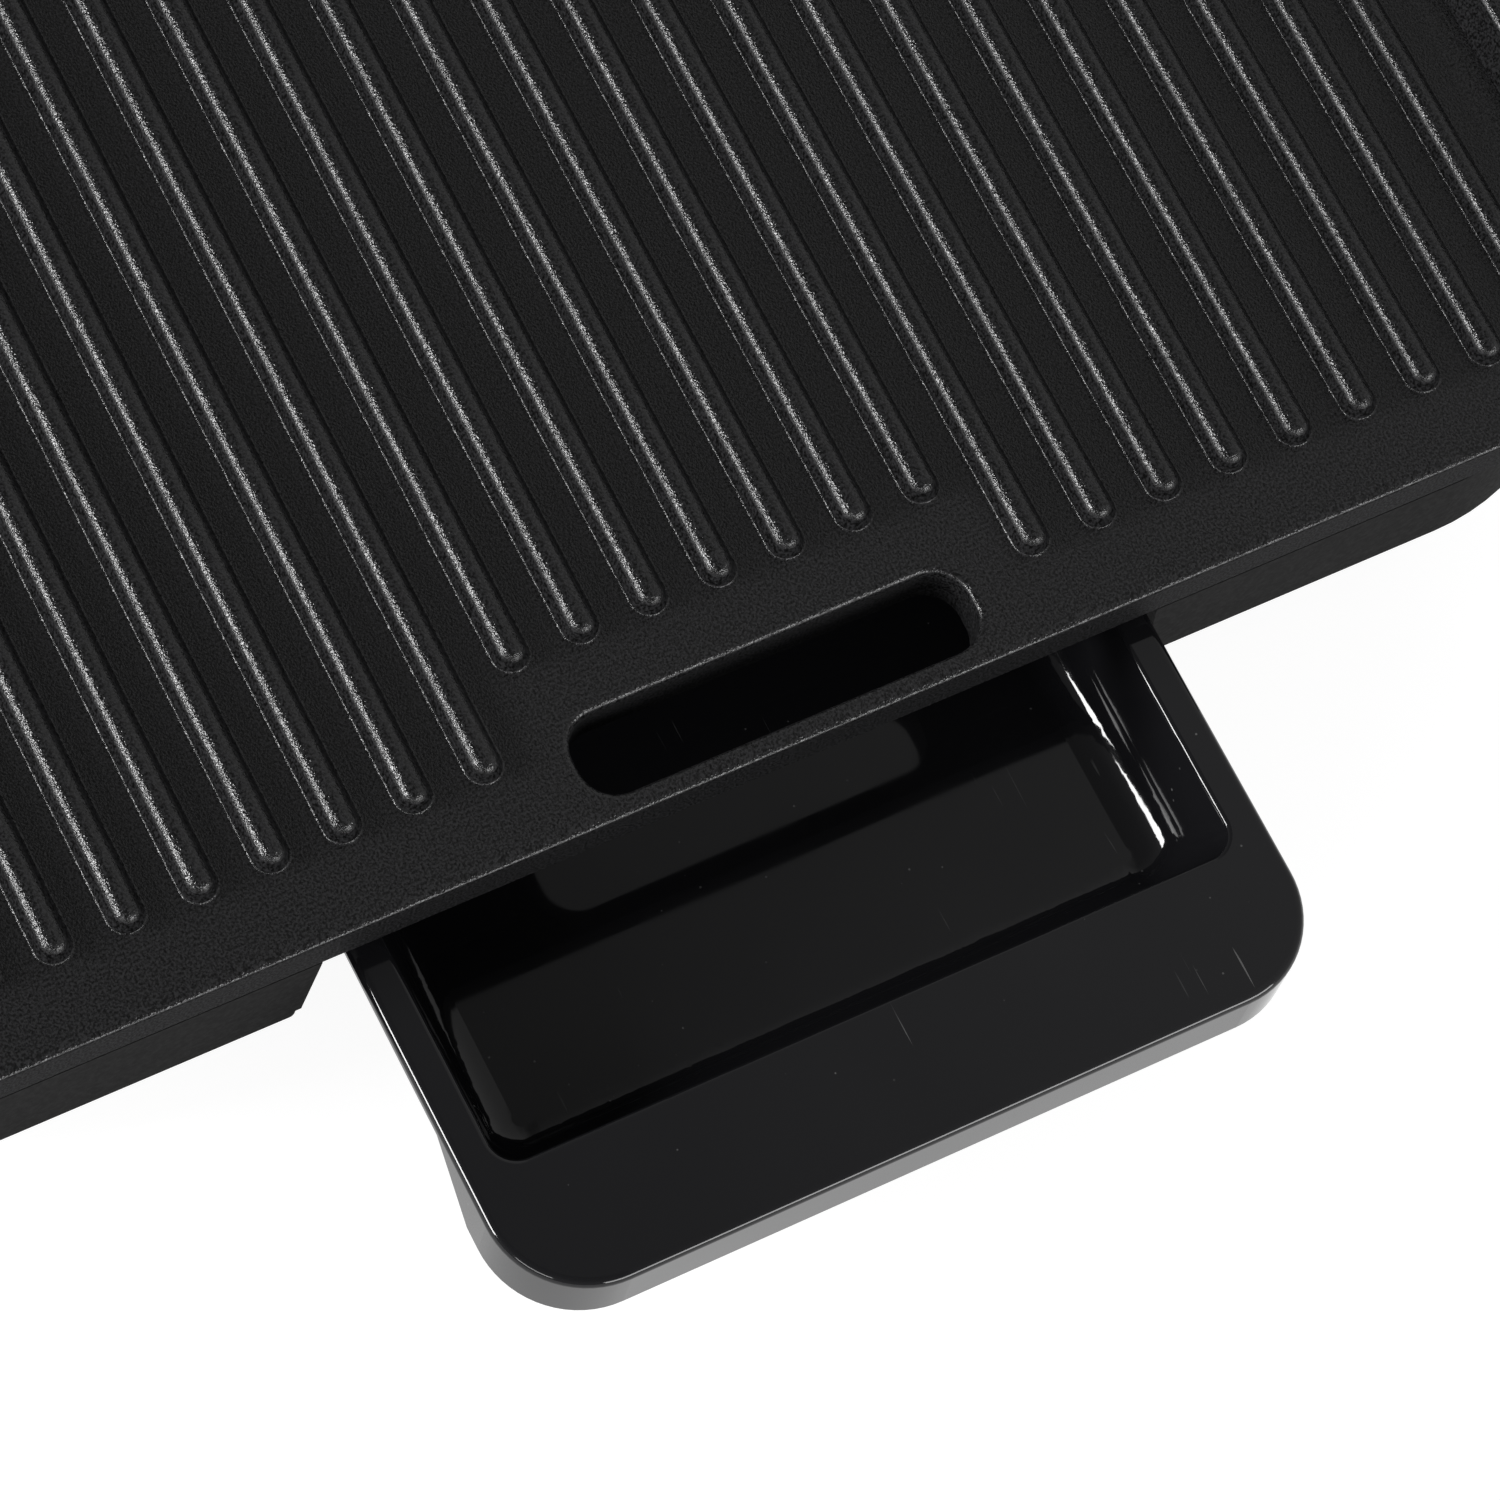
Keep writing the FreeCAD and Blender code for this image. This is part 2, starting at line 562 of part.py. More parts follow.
def heat_reflector():
    """Thin bright sheet under the element, dished up at its edge, open where the chute drains."""
    z0 = REFLECTOR_Z
    t = REFLECTOR_T
    half, front, back, r = REFLECTOR_HALF, REFLECTOR_FRONT, REFLECTOR_BACK, REFLECTOR_R
    sheet = slab(-half, front, half, back, r, z0, z0 + t)
    inside = slab(-half + t, front + t, half - t, back - t, r - t, z0, z0 + 5)
    turn_up = slab(-half, front, half, back, r, z0, z0 + 4).cut(inside)
    turn_up = turn_up.cut(box(PORT_X - 30, 90, z0, PORT_X + 30, 100, z0 + 6))
    sheet = fuse([sheet, turn_up])
    sheet = sheet.cut(box(SLOT_X - 54, -130, z0 - 1, SLOT_X + 54, -104, z0 + 6))
    for x, y in four(SUPPORT_X, SUPPORT_Y).values():
        sheet = sheet.cut(rod(Vec(x, y, z0 - 1), 8, 8.8))
        sheet = sheet.cut(box(min(x, x * 1.1), y - 8.8, z0 - 1, max(x, x * 1.1), y + 8.8, z0 + 6))
    for x, y in REFLECTOR_POSTS:
        sheet = sheet.cut(rod(Vec(x, y, z0 - 1), 4, 1.6))
    return sheet


def rail(name, wall_x, side):
    """Sheet-metal angle on the bay wall; its ledge carries the tray's flange."""
    lip = 90.3
    edge = -lip if side > 0 else lip
    y0 = PLATE_FRONT + 9
    y1 = BAY_BACK - 1
    ledge = box(min(wall_x, edge), y0, RAIL_TOP - RAIL_T, max(wall_x, edge), y1, RAIL_TOP)
    far = wall_x + side * RAIL_T
    leg = box(min(wall_x, far), y0, 22, max(wall_x, far), y1, RAIL_TOP)
    angle = fuse([ledge, leg])
    stop = box(min(far, edge), y1 - RAIL_T, RAIL_TOP - RAIL_T, max(far, edge), y1, 38.6)
    save(name, fuse([angle, stop]))
    rivets = []
    for y in (y0 + 12, (y0 + y1) / 2, y1 - 12):
        centre = Vec(far, y, 27)
        rivets.append(rod(centre, 1.0, 2.4, X_AXIS * side))
    save(name + "_rivets", *rivets)


def handles():
    screws = []
    wall = PLATE_W / 2
    mid = sum(HANDLE_Z) / 2
    for name, sx in (("handle_left", -1), ("handle_right", 1)):
        grip = handle_grip(wall)
        for dy in (-HANDLE_SCREW_DY, HANDLE_SCREW_DY):
            y = HANDLE_MID_Y + dy
            grip = grip.cut(rod(Vec(wall - 1, y, mid), HANDLE_SCREW_L, HANDLE_SCREW_R, X_AXIS))
            head = rod(Vec(wall - WALL_T - 2.2, y, mid), 2.2, 3.8, X_AXIS)
            shank = rod(Vec(wall - WALL_T, y, mid), HANDLE_SCREW_L, HANDLE_SCREW_R, X_AXIS)
            screw = head.fuse(shank)
            screws.append(screw if sx > 0 else screw.mirror(Vec(0, 0, 0), X_AXIS))
        save(name, grip if sx > 0 else grip.mirror(Vec(0, 0, 0), X_AXIS))
    save("handle_screws", *screws)


def handle_grip(wall):
    """D-shaped grip standing out from the right-hand wall, its free edges rounded."""
    z0, z1 = HANDLE_Z
    y0 = HANDLE_MID_Y - HANDLE_HALF
    y1 = HANDLE_MID_Y + HANDLE_HALF
    grip = slab(wall, y0, wall + HANDLE_OUT, y1, (1.0, 16.0, 16.0, 1.0), z0, z1)
    gap = slab(wall - 1, y0 + 14, wall + HANDLE_OUT - 12.5, y1 - 14, (0.5, 7.0, 7.0, 0.5), z0 - 1, z1 + 1)
    grip = grip.cut(gap)

    def free(edge):
        b = edge.BoundBox
        at_wall = b.XLength < 0.01 and b.XMin < wall + 0.1
        return (level(edge, z0) or level(edge, z1)) and b.XMax > wall + 0.5 and not at_wall

    return round_edges(grip, 3.2, free)


# ---- drip tray ---------------------------------------------------------------------------------
def drip_tray():
    radii = (TRAY_R, TRAY_R, 8.0, 8.0)
    flange = slab(-TRAY_HALF, TRAY_FRONT, TRAY_HALF, TRAY_BACK, radii, TRAY_TOP - FLANGE_T, TRAY_TOP)
    skirt_z = TRAY_TOP - SKIRT_H
    skirt = slab(-TRAY_HALF, TRAY_FRONT, TRAY_HALF, TRAY_BACK, radii, skirt_z, TRAY_TOP - FLANGE_T)
    t = SKIRT_T
    skirt = skirt.cut(slab(-TRAY_HALF + t, TRAY_FRONT + t, TRAY_HALF - t, TRAY_BACK - t,
                           (TRAY_R - t, TRAY_R - t, 6.0, 6.0), skirt_z - 1, TRAY_TOP))
    side_view = [(SKIRT_FULL_Y, skirt_z - 0.1), (SKIRT_END_Y, TRAY_TOP - FLANGE_T),
                 (SKIRT_END_Y, TRAY_TOP), (TRAY_BACK + 5, TRAY_TOP), (TRAY_BACK + 5, skirt_z - 0.1)]
    skirt = skirt.cut(prism([Vec(-120, y, z) for y, z in side_view], Vec(240, 0, 0)))
    bottom = TRAY_TOP - PAN_DEPTH
    w = PAN_WALL
    d = PAN_DRAFT
    outer = tapered((-PAN_HALF + d - w, PAN_FRONT + d - w, PAN_HALF - d + w, PAN_BACK - d + w,
                     PAN_FLOOR_R + w, bottom - w),
                    (-PAN_HALF - w, PAN_FRONT - w, PAN_HALF + w, PAN_BACK + w, PAN_R + w, TRAY_TOP - 1))
    hollow = tapered((-PAN_HALF + d, PAN_FRONT + d, PAN_HALF - d, PAN_BACK - d, PAN_FLOOR_R, bottom),
                     (-PAN_HALF, PAN_FRONT, PAN_HALF, PAN_BACK, PAN_R, TRAY_TOP))
    tray = fuse([flange, skirt, outer])
    tray = tray.cut(hollow)
    tray = round_edges(tray, TRAY_EDGE_R, lambda e: level(e, TRAY_TOP) and abs_reach(e) > PAN_HALF + 1)
    tray = round_edges(tray, 1.2, lambda e: level(e, TRAY_TOP) and in_pan(e))
    return round_edges(tray, PAN_FILLET, lambda e: level(e, bottom))


def in_pan(edge):
    b = edge.BoundBox
    return b.XMax < PAN_HALF + 0.5 and b.XMin > -PAN_HALF - 0.5 and b.YMin > PAN_FRONT - 0.5


def abs_reach(edge):
    """Largest distance sideways, or past the pan's mouth at the front or back."""
    b = edge.BoundBox
    past_front = b.YMax < PAN_FRONT - 2
    past_back = b.YMin > PAN_BACK + 2
    return 1000.0 if past_front or past_back else max(abs(b.XMin), abs(b.XMax))


# ---- temperature controller --------------------------------------------------------------------
def case_block(z0, z1, inset=0.0):
    half = CASE_HALF - inset
    return slab(PORT_X - half, CASE_FRONT + inset, PORT_X + half, CASE_BACK - inset, CASE_R - inset, z0, z1)


def controller_parts():
    low, split, top = CASE_Z
    gland_z = split - 1.0
    nose = box(PORT_X - NOSE_HALF, NOSE_Y[0], NOSE_Z[0], PORT_X + NOSE_HALF, NOSE_Y[1], NOSE_Z[1])
    gland_hole = rod(Vec(PORT_X, CASE_BACK - 8, gland_z), 20, 5.5, Y_AXIS)
    lower = case_block(low, split)
    lower = round_edges(lower, 4.0, lambda e: level(e, low))
    lower = lower.cut(case_block(low + CASE_T, split + 1, CASE_T))
    upper = case_block(split, top)
    upper = round_edges(upper, 5.0, lambda e: level(e, top))
    upper = upper.cut(case_block(split - 1, top - CASE_T, CASE_T))
    lower = fuse([lower] + [rod(Vec(x, y, low + 1), split - low - 1, 4) for x, y in CASE_SCREWS])
    upper = fuse([upper] + [rod(Vec(x, y, split), top - split - 1, 4) for x, y in CASE_SCREWS])
    screws = []
    for x, y in CASE_SCREWS:
        lower = lower.cut(rod(Vec(x, y, low - 1), 30, 1.4))
        lower = lower.cut(rod(Vec(x, y, low - 1), 3.2, 3.0))
        upper = upper.cut(rod(Vec(x, y, split - 1), 9, 1.4))
        screws.append(rod(Vec(x, y, low + 0.4), 1.8, 2.7).fuse(rod(Vec(x, y, low + 2.2), 22, 1.4)))
    upper = upper.cut(rod(Vec(PORT_X, DIAL_Y, top - 6), 10, 5.5))
    upper = upper.cut(rod(Vec(PORT_X, LENS_Y, top - 6), 10, LENS_R))
    save("controller_housing_lower", lower.cut(nose).cut(gland_hole))
    save("controller_housing_upper", upper.cut(nose).cut(gland_hole))
    save("controller_housing_screws", *screws)
    carrier = round_edges(nose, 1.0, lambda e: level_y(e, NOSE_Y[0]))
    sockets = []
    for dx in (-PIN_DX, PIN_DX):
        carrier = carrier.cut(rod(Vec(PORT_X + dx, NOSE_Y[0] - 1, TUBE_Z), 60, 2.9, Y_AXIS))
        socket = tube(Vec(PORT_X + dx, NOSE_Y[0] + 0.6, TUBE_Z), 33, 2.9, 2.3, Y_AXIS)
        tail_y = NOSE_Y[0] + 33.6
        sockets.append(socket.fuse(rod(Vec(PORT_X + dx, tail_y, TUBE_Z), NOSE_Y[1] - tail_y, 2.9, Y_AXIS)))
    carrier = carrier.cut(rod(Vec(PORT_X, NOSE_Y[0] - 1, TUBE_Z), 60, PROBE_R, Y_AXIS))
    save("probe_carrier", carrier)
    save("contact_sockets", *sockets)
    rod_end = NOSE_Y[1] + 4
    probe = rod(Vec(PORT_X, PROBE_TIP + 2, TUBE_Z), rod_end - PROBE_TIP - 2, PROBE_R, Y_AXIS)
    save("probe_rod", probe.fuse(Part.makeSphere(PROBE_R, Vec(PORT_X, PROBE_TIP + PROBE_R, TUBE_Z))))
    thermostat_parts()
    roof = top - CASE_T
    flange = tube(Vec(PORT_X, DIAL_Y, roof - 3.8), 3.8, 7.0, 3.06)
    save("spindle_bush", flange.fuse(tube(Vec(PORT_X, DIAL_Y, roof), CASE_T + 0.8, 5.5, 3.06)))
    lamp = rod(Vec(PORT_X, LENS_Y, 46.5), 7.5, 2.4).fuse(Part.makeSphere(2.4, Vec(PORT_X, LENS_Y, 54.0)))
    save("pilot_lamp", lamp)
    lens = rod(Vec(PORT_X, LENS_Y, 57.0), 2.6, LENS_R)
    dome = Part.makeSphere(5.4, Vec(PORT_X, LENS_Y, 55.57)).common(rod(Vec(PORT_X, LENS_Y, 59.6), 5, LENS_R))
    save("pilot_lens", fuse([lens, dome]))
    gland = tube(Vec(PORT_X, CASE_BACK, gland_z), 2.0, 8.0, 3.4, Y_AXIS)
    neck = tube(Vec(PORT_X, CASE_BACK - CASE_T, gland_z), CASE_T + 1, 5.5, 3.4, Y_AXIS)
    clamp = tube(Vec(PORT_X, CASE_BACK - CASE_T - 2, gland_z), 2.0, 7.5, 3.4, Y_AXIS)
    save("cord_gland", round_edges(fuse([gland, neck, clamp]), 0.8,
                                   lambda e: level_y(e, CASE_BACK + 2) and e.BoundBox.XLength > 10))
    dial_parts()


def level_y(edge, y):
    b = edge.BoundBox
    return abs(b.YMin - y) < 0.01 and abs(b.YMax - y) < 0.01


def thermostat_parts():
    """Bracket, bimetal and contact blades, stacked behind the carrier under the spindle."""
    y0 = NOSE_Y[1]
    front = y0 + STACK_Y[0]
    back = y0 + STACK_Y[1]
    z = STACK_Z

    def stacked(half, near, low, high):
        return box(PORT_X - half, near, low, PORT_X + half, back, high)

    upright = box(PORT_X - 11, y0, z, PORT_X + 11, y0 + 1.2, z + 15)
    bracket = fuse([upright, stacked(11, y0, z, z + 1.2), stacked(6, front, z, z + 4.0)])
    save("thermostat_bracket", bracket.cut(rod(Vec(PORT_X, y0 - 1, TUBE_Z), 10, PROBE_R, Y_AXIS)))
    save("bimetal_blade", stacked(5, y0 + 6, z + 4.0, z + 4.9))
    insulators = [stacked(6, front, z + 4.9, z + 7.4), stacked(6, front, z + 8.2, z + 10.4)]
    save("blade_insulators", fuse(insulators))
    tip = Vec(PORT_X, y0 + 14, 0)
    lower_blade = stacked(4, y0 + 10, z + 7.4, z + 8.2)
    upper_blade = stacked(4, y0 + 10, z + 10.4, z + 11.2)
    lower_tip = rod(tip + Vec(0, 0, z + 8.2), 1.0, 2.0)
    upper_tip = rod(tip + Vec(0, 0, z + 9.4), 1.0, 2.0)
    save("contact_blades", fuse([lower_blade, lower_tip]), fuse([upper_blade, upper_tip]))


def dial_parts():
    z0, z1 = DIAL_Z
    centre = Vec(PORT_X, DIAL_Y, 0)
    skirt_top = z0 + 3.0
    skirt = turned([(0, z0), (DIAL_R, z0), (DIAL_R, skirt_top - 0.8), (DIAL_R - 1.2, skirt_top),
                    (0, skirt_top)], centre)
    grip_r = DIAL_R - 3.5
    grip = turned([(0, z0 + 2), (grip_r, z0 + 2), (grip_r - 1.0, z1 - 1.2), (grip_r - 2.2, z1),
                   (0, z1)], centre)
    for i in range(DIAL_FLUTES):
        a = 2 * math.pi * i / DIAL_FLUTES
        out = Vec(math.cos(a), math.sin(a), 0) * (grip_r + 0.9)
        grip = grip.cut(rod(centre + out + Vec(0, 0, skirt_top), 20, DIAL_FLUTE_R))
    groove = pointer_bar(grip_r - 2.0, z1 + 1)
    dial = fuse([skirt, grip]).cut(groove).cut(rod(centre + Vec(0, 0, z0 - 1), 8, SPINDLE_R))
    save("temperature_dial", dial)
    save("dial_pointer", pointer_bar(grip_r - 2.2, z1 + 0.2))
    save("dial_spindle", rod(centre + Vec(0, 0, SPINDLE_Z), z0 + 7 - SPINDLE_Z, SPINDLE_R))


def pointer_bar(reach, top):
    """Bar across the dial's top, from near its middle out to reach."""
    half = POINTER_HALF
    return box(PORT_X - half, DIAL_Y + 3, DIAL_Z[1] - 0.6, PORT_X + half, DIAL_Y + reach, top)


def main():
    os.makedirs("parts", exist_ok=True)
    plate_parts()
    base_parts()
    save("drip_tray", drip_tray())
    controller_parts()


main()
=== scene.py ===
import bmesh
import bpy
import json
import math
from mathutils import Matrix, Vector


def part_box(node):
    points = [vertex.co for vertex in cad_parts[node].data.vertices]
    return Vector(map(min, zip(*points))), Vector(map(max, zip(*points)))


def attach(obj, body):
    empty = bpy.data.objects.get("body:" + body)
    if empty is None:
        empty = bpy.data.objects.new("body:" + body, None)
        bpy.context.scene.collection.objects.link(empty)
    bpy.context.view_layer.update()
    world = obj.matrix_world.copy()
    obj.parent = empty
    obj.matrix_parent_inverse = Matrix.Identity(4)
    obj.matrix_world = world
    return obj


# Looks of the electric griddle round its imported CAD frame: materials, dial scale, floor, light, camera.
# Metres, in the frame's own axes: +X right, +Y back, +Z up, origin on the table under the plate.

# ---- camera ------------------------------------------------------------------------------------
CAMERA_AZIMUTH = -45.82      # degrees, 0 is the -Y side and -90 the -X side
CAMERA_ELEVATION = 65.75
CAMERA_ROLL = 20.32
CAMERA_DISTANCE = 1.355      # from the point on the cooking surface where it aims
CAMERA_AIM_X = -0.0031
CAMERA_AIM_Y = 0.0025        # behind the plate's front edge
CAMERA_LENS = 158.87         # millimetres
CAMERA_SENSOR = 36.0
CAMERA_CLIP = (0.05, 200.0)
COOKING_DEPTH = 0.0090       # the cooking surface lies this far under the rim's crest

# ---- dial scale, metres ------------------------------------------------------------------------
SCALE_STEPS = 18
SCALE_MAJOR = 3              # every third stroke is a long one
SCALE_TRAVEL = 270.0         # degrees, clockwise from +Y
SCALE_RADIUS = 0.0207        # inner end of the strokes
SCALE_LONG = 0.0026
SCALE_SHORT = 0.0014
SCALE_HALF = 0.00028         # half of a stroke's width
SCALE_INK = 0.00006          # how far the ink stands out of the housing, and reaches into it
SCALE_ROUND = 6              # straight pieces in the round end of a stroke

# ---- studio ------------------------------------------------------------------------------------
FLOOR_RADIUS = 40.0
FLOOR_SIDES = 96
FLOOR_DROP = 0.0006          # below the feet, so the two never share a plane
FLOOR_GLOW = 0.90
FLOOR_GREY = 0.25            # what the floor reflects of the lamps, on top of its glow
SKY_DIM = 0.12               # overhead
SKY_LOW = 0.14               # added towards the horizon
SKY_LOW_FADE = (0.30, 0.85)  # upward part of a direction where that is full, and where it is gone
SKY_RIGHT = 0.26             # added on the right
SKY_RIGHT_FADE = (0.38, 0.20)

LAMP_DISTANCE = 2.4          # from the camera's aim
LAMPS = {                    # azimuth and elevation in degrees, width, height, watts
    "key_left": (-108.0, 21.0, 1.1, 0.62, 64.0),
    "front_left": (-58.0, 22.0, 1.2, 0.40, 12.0),
    "front_low": (17.0, 14.0, 2.0, 0.70, 40.0),
}

# ---- sockets of a Mix node that blends colours -------------------------------------------------
MIX_FACTOR = 0
MIX_LOW = 6
MIX_HIGH = 7
MIX_RESULT = 2


# ---- node helpers ------------------------------------------------------------------------------
class Shader:
    """A node material with one Principled shader, and short calls for the nodes in front of it."""

    def __init__(self, name, color, roughness, **sockets):
        self.material = bpy.data.materials.new(name)
        self.material.use_nodes = True
        self.nodes = self.material.node_tree.nodes
        self.links = self.material.node_tree.links
        self.bsdf = self.nodes["Principled BSDF"]
        self.put(self.bsdf, "Base Color", (*color, 1.0))
        self.put(self.bsdf, "Roughness", roughness)
        for socket, value in sockets.items():
            self.put(self.bsdf, socket.replace("_", " "), value)
        coordinates = self.nodes.new("ShaderNodeTexCoord")
        self.place = coordinates.outputs["Object"]
        self.upward = self.node("SeparateXYZ", Vector=coordinates.outputs["Normal"]).outputs["Z"]

    def put(self, node, socket, value):
        if isinstance(value, bpy.types.NodeSocket):
            self.links.new(value, node.inputs[socket])
        else:
            node.inputs[socket].default_value = value

    def node(self, kind, **inputs):
        made = self.nodes.new("ShaderNode" + kind)
        for socket, value in inputs.items():
            self.put(made, socket.replace("_", " "), value)
        return made

    def stretched(self, x, y, z):
        """Object coordinates scaled per axis, for grain that runs one way."""
        return self.node("Mapping", Vector=self.place, Scale=(x, y, z)).outputs["Vector"]

    def noise(self, grain, detail=2.0, rough=0.5, distort=0.0, place=None):
        """Noise whose grains are about this many metres across."""
        made = self.node("TexNoise", Vector=place or self.place, Scale=1.0 / grain, Detail=detail,
                         Roughness=rough, Distortion=distort)
        return made.outputs["Fac"]

    def cells(self, size):
        """Distance to the middle of the nearest of many scattered cells about this many metres across."""
        return self.node("TexVoronoi", Vector=self.place, Scale=1.0 / size).outputs["Distance"]

    def ramp(self, value, low, high, from_low=0.35, from_high=0.65):
        """Goes from low to high while value goes from from_low to from_high."""
        made = self.node("MapRange", Value=value, From_Min=from_low, From_Max=from_high,
                         To_Min=low, To_Max=high)
        return made.outputs["Result"]

    def tint(self, value, dark, light, from_low=0.35, from_high=0.65):
        """Colour between dark and light by a value."""
        factor = self.ramp(value, 0.0, 1.0, from_low, from_high)
        return self.blend(factor, (*dark, 1.0), (*light, 1.0))

    def blend(self, factor, low, high):
        """Colour that goes from low to high by a factor; each is a socket or a colour."""
        made = self.node("Mix")
        made.data_type = "RGBA"
        self.put(made, MIX_FACTOR, factor)
        self.put(made, MIX_LOW, low)
        self.put(made, MIX_HIGH, high)
        return made.outputs[MIX_RESULT]

    def math(self, operation, a, b):
        made = self.node("Math")
        made.operation = operation
        self.put(made, 0, a)
        self.put(made, 1, b)
        return made.outputs[0]

    def bump(self, height, depth, strength=1.0):
        """Adds a layer of relief of this depth in metres on top of the layers already there."""
        made = self.node("Bump", Height=height, Distance=depth, Strength=strength)
        before = self.bsdf.inputs["Normal"]
        if before.is_linked:
            self.links.new(before.links[0].from_socket, made.inputs["Normal"])
        self.links.new(made.outputs["Normal"], before)

    def color(self, value):
        self.put(self.bsdf, "Base Color", value)

    def roughness(self, value):
        self.put(self.bsdf, "Roughness", value)


def scaled(color, factor):
    return tuple(c * factor for c in color)


# ---- materials ---------------------------------------------------------------------------------
def nonstick_cast(name):
    """Textured non-stick coating: charcoal, with a sharp fine grain that sparkles where it catches light.
    Steep faces are duller, the upright band has linishing lines along it, and the underside is bare."""
    s = Shader(name, (0.012, 0.012, 0.013), 0.26)
    steep, level = 0.45, 0.70
    coated = s.tint(s.noise(0.0006, detail=1.0), (0.002, 0.002, 0.002), (0.020, 0.020, 0.021))
    bare = s.tint(s.noise(0.004, detail=4.0), (0.30, 0.30, 0.31), (0.42, 0.42, 0.43))
    under = s.ramp(s.upward, 1.0, 0.0, -0.8, -0.5)
    s.color(s.blend(under, coated, bare))
    s.put(s.bsdf, "Metallic", under)
    s.put(s.bsdf, "Specular IOR Level", s.ramp(s.upward, 0.03, 0.45, steep, level))
    sheen = s.ramp(s.noise(0.0008), 0.12, 0.20)
    s.roughness(s.ramp(s.upward, 0.66, sheen, steep, level))
    on_band = s.ramp(s.upward, 0.5, 0.0, 0.2, 0.4)
    s.bump(s.noise(0.0005, place=s.stretched(0.015, 0.015, 1.0)), 0.00003, on_band)
    on_top = s.ramp(s.upward, 0.15, 1.0, 0.2, 0.5)
    s.bump(s.noise(0.00050, detail=1.0, rough=0.7), 0.00019, on_top)
    return s.material


def moulded(name, color, roughness, grain, depth, **sockets):
    """Moulded plastic with an eroded grain, faint flow marks and a little wear in its sheen."""
    s = Shader(name, color, roughness, **sockets)
    flow = s.noise(0.09, detail=2.0, distort=0.6)
    s.color(s.tint(flow, scaled(color, 0.9), scaled(color, 1.1)))
    s.roughness(s.ramp(s.noise(0.0012, detail=3.0), roughness * 0.92, roughness * 1.08))
    s.bump(s.noise(grain, detail=2.0), depth)
    return s.material


def base_plastic(name):
    return moulded(name, (0.009, 0.009, 0.009), 0.7, 0.0004, 0.00002, Specular_IOR_Level=0.03)


def handle_plastic(name):
    return moulded(name, (0.012, 0.012, 0.012), 0.5, 0.0005, 0.00002)


def controller_plastic(name):
    return moulded(name, (0.014, 0.014, 0.015), 0.45, 0.0005, 0.00003)


def dial_plastic(name):
    return moulded(name, (0.012, 0.012, 0.013), 0.36, 0.0004, 0.00001)


def phenolic(name):
    return moulded(name, (0.05, 0.03, 0.02), 0.42, 0.0008, 0.00001)


def tray_gloss(name):
    """Polished black moulding: faint waves from the mould, a few hairline scratches and specks of dust."""
    black = (0.007, 0.007, 0.008)
    s = Shader(name, black, 0.06)
    s.put(s.bsdf, "Specular IOR Level", s.ramp(s.upward, 0.26, 0.46, 0.3, 0.8))
    s.bump(s.noise(0.05, detail=1.0), 0.00022)
    hair = s.noise(0.0006, detail=0.0, distort=0.3, place=s.stretched(1.0, 0.03, 1.0))
    scratched = s.math("MULTIPLY", s.ramp(hair, 0.0, 1.0, 0.80, 0.84),
                       s.ramp(s.noise(0.03), 0.0, 1.0, 0.58, 0.66))
    dusty = s.math("MULTIPLY", s.ramp(s.cells(0.005), 1.0, 0.0, 0.035, 0.06),
                   s.ramp(s.noise(0.02), 0.0, 1.0, 0.5, 0.6))
    s.roughness(s.ramp(s.noise(0.012, detail=4.0), 0.05, 0.09))
    s.color(s.tint(s.math("MAXIMUM", scratched, dusty), black, (0.10, 0.10, 0.10), 0.0, 1.0))
    return s.material


def metal(name, color, roughness, grain=(1.0, 1.0, 1.0), depth=0.000004, scuff=0.012):
    """Metal with fine rolling or turning lines along one axis and cloudy scuffs."""
    s = Shader(name, color, roughness, Metallic=1.0)
    lines = s.noise(0.0004, detail=2.0, place=s.stretched(*grain))
    clouds = s.noise(scuff, detail=4.0)
    s.color(s.tint(clouds, scaled(color, 0.82), color))
    s.roughness(s.ramp(clouds, roughness * 1.35, roughness * 0.85))
    s.bump(lines, depth)
    return s.material


def element_sheath(name):
    return metal(name, (0.22, 0.20, 0.18), 0.45, scuff=0.006)


def plated_pins(name):
    return metal(name, (0.74, 0.74, 0.73), 0.16, grain=(1.0, 0.15, 1.0), scuff=0.003)


def sheet_steel(name):
    return metal(name, (0.56, 0.57, 0.58), 0.34, grain=(1.0, 0.04, 1.0), scuff=0.01)


def screw_steel(name):
    return metal(name, (0.52, 0.52, 0.54), 0.3, scuff=0.002)


def reflector_sheet(name):
    return metal(name, (0.72, 0.73, 0.75), 0.24, grain=(0.02, 1.0, 1.0), scuff=0.04)


def contact_brass(name):
    return metal(name, (0.74, 0.55, 0.26), 0.26, grain=(1.0, 0.2, 1.0), scuff=0.003)


def ceramic(name):
    s = Shader(name, (0.78, 0.76, 0.70), 0.28, Coat_Weight=0.4, Coat_Roughness=0.12)
    s.color(s.tint(s.noise(0.0025, detail=4.0), (0.70, 0.67, 0.60), (0.82, 0.80, 0.75)))
    s.bump(s.noise(0.0009), 0.00001)
    return s.material


def rubber(name, color, roughness):
    s = Shader(name, color, roughness, Specular_IOR_Level=0.3)
    s.color(s.tint(s.noise(0.006, detail=4.0), scaled(color, 0.75), scaled(color, 1.5)))
    s.bump(s.noise(0.0007, detail=3.0), 0.00004)
    return s.material


def foot_rubber(name):
    return rubber(name, (0.018, 0.018, 0.018), 0.75)


def gland_rubber(name):
    return rubber(name, (0.014, 0.014, 0.014), 0.62)


def lamp_glass(name):
    s = Shader(name, (0.95, 0.72, 0.5), 0.05, Transmission_Weight=0.9, IOR=1.5)
    s.roughness(s.ramp(s.noise(0.002), 0.03, 0.12))
    s.bump(s.noise(0.003), 0.00004)
    return s.material


def pilot_red(name):
    s = Shader(name, (0.55, 0.02, 0.012), 0.12, Transmission_Weight=0.55, IOR=1.49)
    s.color(s.tint(s.noise(0.0016), (0.42, 0.012, 0.008), (0.62, 0.03, 0.018)))
    s.bump(s.cells(0.0012), 0.00012)
    return s.material


